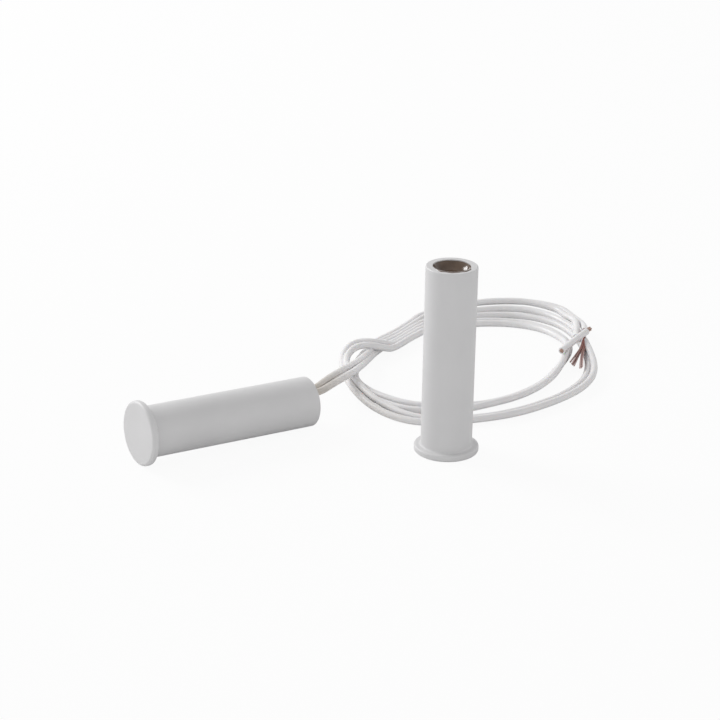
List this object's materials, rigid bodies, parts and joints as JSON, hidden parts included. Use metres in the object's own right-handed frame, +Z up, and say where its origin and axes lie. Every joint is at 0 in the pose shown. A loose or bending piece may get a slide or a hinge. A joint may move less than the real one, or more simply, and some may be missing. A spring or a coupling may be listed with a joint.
{
  "type": "magnetic contact",
  "caption": "Recessed magnetic contact for a door or window: a magnet capsule and a reed switch capsule, both for drilled holes, with a thin coiled lead.",
  "frame": {"origin": "centre of the magnet capsule's head, on the surface that it stands on", "axes": "+Z up the magnet capsule's barrel, +X along the lying switch capsule from its head to its open end, +Y away from the magnet capsule across to the switch capsule"},
  "size_m": [0.1179, 0.0697, 0.036],
  "materials": {
    "housing": "satin moulded thermoplastic, light grey white",
    "magnet": "ground magnet alloy, sealed in",
    "magnet_adhesive": "glossy dark brown set adhesive",
    "switch_adhesive": "glossy brownish translucent set adhesive",
    "reed_glass": "clear, slightly green glass tube",
    "reed_metal": "plated nickel iron",
    "copper": "bare copper, reddish",
    "sleeve": "thin insulating sleeve",
    "solder": "dull solder",
    "wire_insulation": "smooth white insulation"
  },
  "bodies": {
    "root": {"magnet_housing": "housing", "switch_housing": "housing", "magnet": "magnet", "magnet_adhesive": "magnet_adhesive", "switch_adhesive": "switch_adhesive", "reed_glass": "reed_glass", "reed_front": "reed_metal", "reed_rear": "reed_metal", "return_conductor": "copper", "return_sleeve": "sleeve", "solder_front": "solder", "solder_a": "solder", "solder_b": "solder", "core_in_a": "copper", "core_in_b": "copper", "wire_a": "wire_insulation", "wire_b": "wire_insulation", "lead_coil": "wire_insulation", "tail_a": "wire_insulation", "core_out_a": "copper", "tail_b": "wire_insulation", "wire_stub": "wire_insulation", "stub_core": "copper", "strand_1": "copper", "strand_2": "copper", "strand_3": "copper", "strand_4": "copper", "strand_5": "copper", "strand_6": "copper", "strand_7": "copper"}
  },
  "joints": []
}
